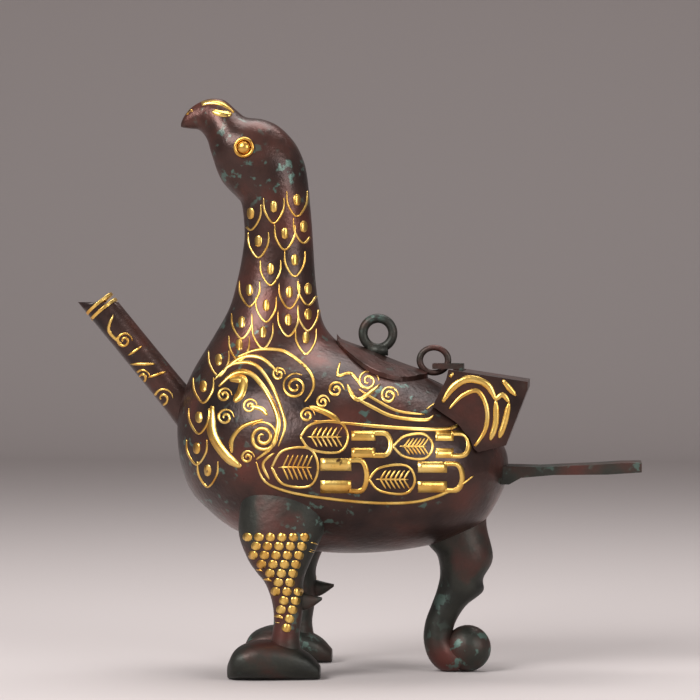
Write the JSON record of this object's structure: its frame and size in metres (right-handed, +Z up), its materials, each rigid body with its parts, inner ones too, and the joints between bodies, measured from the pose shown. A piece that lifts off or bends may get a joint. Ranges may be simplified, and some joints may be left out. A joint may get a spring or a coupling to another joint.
{
  "type": "bronze wine ewer",
  "caption": "Bird-shaped bronze wine ewer with gold inlay, a breast spout, a hinged lid on the back, a flat tail handle and three legs.",
  "frame": {"origin": "on the ground at the middle of the length and width", "axes": "+Z up, the bird looks along -X, its left side faces -Y"},
  "size_m": [0.2542, 0.1062, 0.2578],
  "materials": {
    "bronze": "dark brown patina, softly polished",
    "dark_bronze": "green-black patina, matt",
    "gold": "polished gold inlay, slightly worn"
  },
  "bodies": {
    "vessel": {"body_vessel": "bronze", "neck_and_head": "bronze", "spout": "bronze", "tail_wedge": "bronze", "tail_handle": "dark_bronze", "left_front_leg": "dark_bronze", "right_front_leg": "dark_bronze", "rear_leg": "dark_bronze", "tail_hinge_eye": "dark_bronze", "beak_inlay_left": "gold", "beak_inlay_right": "gold", "eye_rim_left": "gold", "eye_rim_right": "gold", "eye_boss_left": "gold", "eye_boss_right": "gold", "upper_leaf_front_left": "gold", "upper_leaf_front_right": "gold", "upper_plate_front_left": "gold", "upper_plate_front_right": "gold", "upper_leaf_rear_left": "gold", "upper_leaf_rear_right": "gold", "upper_plate_rear_left": "gold", "upper_plate_rear_right": "gold", "lower_leaf_front_left": "gold", "lower_leaf_front_right": "gold", "lower_plate_front_left": "gold", "lower_plate_front_right": "gold", "lower_leaf_rear_left": "gold", "lower_leaf_rear_right": "gold", "lower_plate_rear_left": "gold", "lower_plate_rear_right": "gold", "spout_band_lower": "gold", "spout_band_upper": "gold"},
    "lid": {"lid": "bronze", "lid_ring": "dark_bronze", "lid_hinge_loop": "dark_bronze"}
  },
  "joints": [
    {"name": "lid_hinge", "type": "hinge", "parent": "vessel", "child": "lid", "pos_m": [0.035, 0, 0.1373], "axis": [0, 1, 0], "range_deg": [0, 100]}
  ]
}
